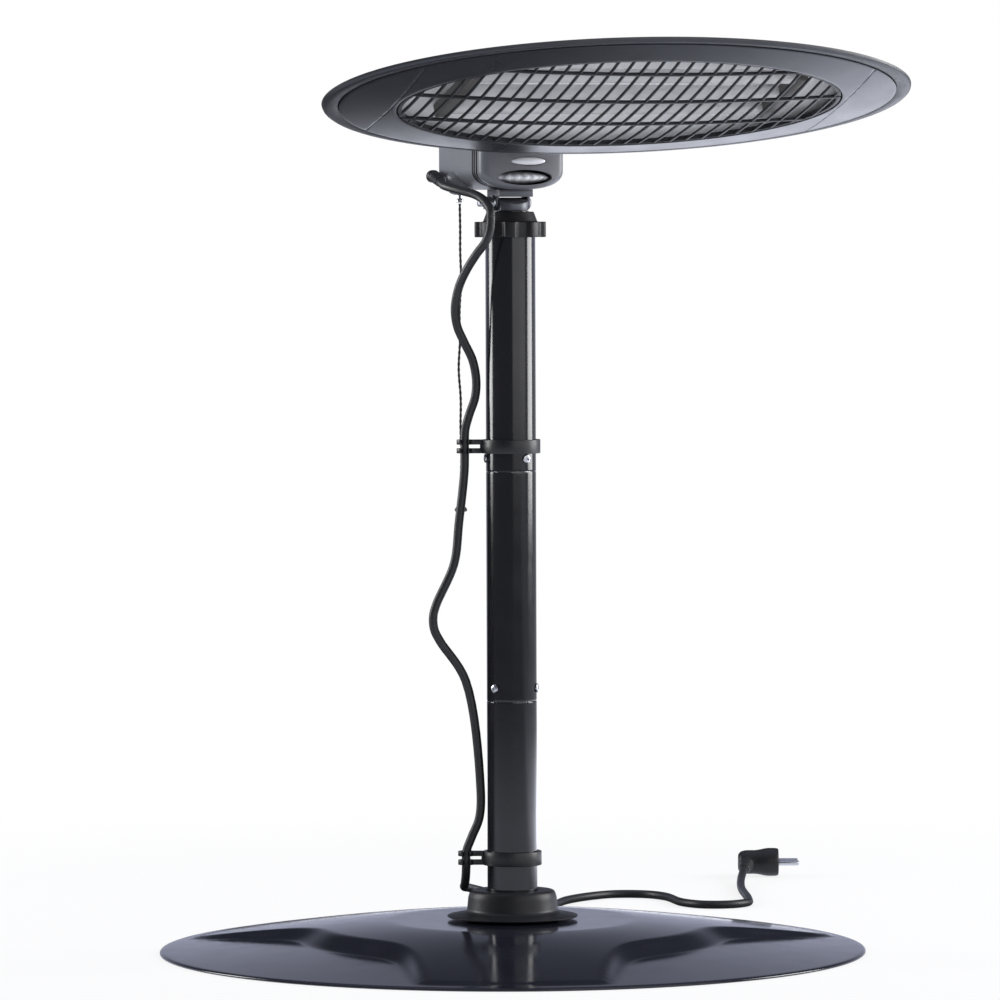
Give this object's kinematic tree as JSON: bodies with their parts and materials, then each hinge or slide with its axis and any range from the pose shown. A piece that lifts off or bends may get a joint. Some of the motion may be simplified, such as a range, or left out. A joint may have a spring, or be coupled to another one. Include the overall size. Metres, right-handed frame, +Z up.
{
  "type": "infrared patio heater tower",
  "caption": "Round weighted base, segmented black pole with a telescopic mast, control box and an oval tilting radiant head behind a ribbed grille.",
  "frame": {"origin": "middle of the flat underside of the base", "axes": "+Z up along the pole, -Y towards the front, where the head looks, +X to the right"},
  "size_m": [0.5962, 0.9451, 0.7248],
  "materials": {
    "base_cover": "high gloss",
    "iron": "dark painted casting",
    "pole_paint": "gloss black enamel",
    "steel": "zinc plated",
    "black_plastic": "satin moulded",
    "head_paint": "satin dark grey paint",
    "box_grey": "satin mid grey",
    "gasket_rubber": "black seal",
    "light_grey": "light grey moulded",
    "lens_grey": "pale translucent grey",
    "grille_steel": "dark satin",
    "mirror_aluminium": "polished",
    "quartz": "clear quartz",
    "ceramic": "unglazed",
    "brass": "plain",
    "cord_rubber": "matt black sheath",
    "pull_textile": "braided black cord"
  },
  "bodies": {
    "stand": {"base_plate": "iron", "base_weight": "iron", "base_cover": "base_cover", "pole_socket": "steel", "base_bolt": "steel", "base_collar": "black_plastic", "pole_lower": "pole_paint", "joint_sleeve_lower": "steel", "pole_middle": "pole_paint", "joint_sleeve_upper": "steel", "pole_upper": "pole_paint", "lower_joint_screw_1": "steel", "lower_joint_screw_2": "steel", "lower_joint_screw_3": "steel", "upper_joint_screw_1": "steel", "upper_joint_screw_2": "steel", "upper_joint_screw_3": "steel", "cable_clip_lower": "black_plastic", "cable_clip_upper": "black_plastic", "collet": "black_plastic", "mains_cord_upper": "cord_rubber", "mains_cord_lower": "cord_rubber", "plug_body": "black_plastic", "plug_boot": "cord_rubber", "plug_pin_1": "brass", "plug_pin_2": "brass"},
    "mast": {"mast_tube": "pole_paint", "mast_foot_bush": "black_plastic", "mast_head_plug": "black_plastic", "tilt_bolt": "steel", "tilt_lock_nut": "steel"},
    "head": {"tilt_bracket": "head_paint", "control_box_rear": "box_grey", "box_gasket": "gasket_rubber", "control_box_front": "box_grey", "indicator_lens": "lens_grey", "heat_switch": "black_plastic", "terminal_block": "ceramic", "tip_over_switch": "black_plastic", "pull_switch": "black_plastic", "cord_gland": "black_plastic", "strain_relief": "cord_rubber", "back_shell": "head_paint", "front_frame": "head_paint", "end_cap_left": "head_paint", "end_cap_right": "head_paint", "grille": "grille_steel", "reflector": "mirror_aluminium", "heating_element_1": "quartz", "heating_element_2": "quartz", "heating_element_3": "quartz", "element_holder_left": "ceramic", "element_holder_right": "ceramic", "mains_cord_head": "cord_rubber"},
    "lock_ring": {"twist_collar": "black_plastic"},
    "dial": {"heat_dial": "light_grey"},
    "plunger": {"pull_plunger": "steel"},
    "pull": {"pull_cord": "pull_textile", "pull_bell": "black_plastic"}
  },
  "joints": [
    {"name": "height_slide", "type": "slide", "parent": "stand", "child": "mast", "axis": [0, 0, 1], "range_m": [0, 0.11], "deforming": ["mains_cord_upper"]},
    {"name": "head_tilt", "type": "hinge", "parent": "mast", "child": "head", "pos_m": [0, 0, 0.6005], "axis": [-0.9225, -0.3859, 0], "range_deg": [-20, 25], "deforming": ["mains_cord_head"]},
    {"name": "collar_twist", "type": "hinge", "parent": "stand", "child": "lock_ring", "pos_m": [0, 0, 0.58], "axis": [0, 0, 1], "range_deg": [0, 120]},
    {"name": "dial_turn", "type": "hinge", "parent": "head", "child": "dial", "pos_m": [0.00166, -0.00397, 0.6205], "axis": [0, 0, 1], "range_deg": [0, 240]},
    {"name": "pull_travel", "type": "slide", "parent": "head", "child": "plunger", "axis": [0, 0, -1], "range_m": [0, 0.008], "stiffness_N_per_m": 1000},
    {"name": "pull_swing", "type": "hinge", "parent": "plunger", "child": "pull", "pos_m": [-0.04034, 0.01998, 0.6008], "axis": [-0.9225, -0.3859, 0], "range_deg": [-30, 30]}
  ],
  "couplings": [
    {"joint": "pull_swing", "follows": "head_tilt", "ratio": -1}
  ]
}
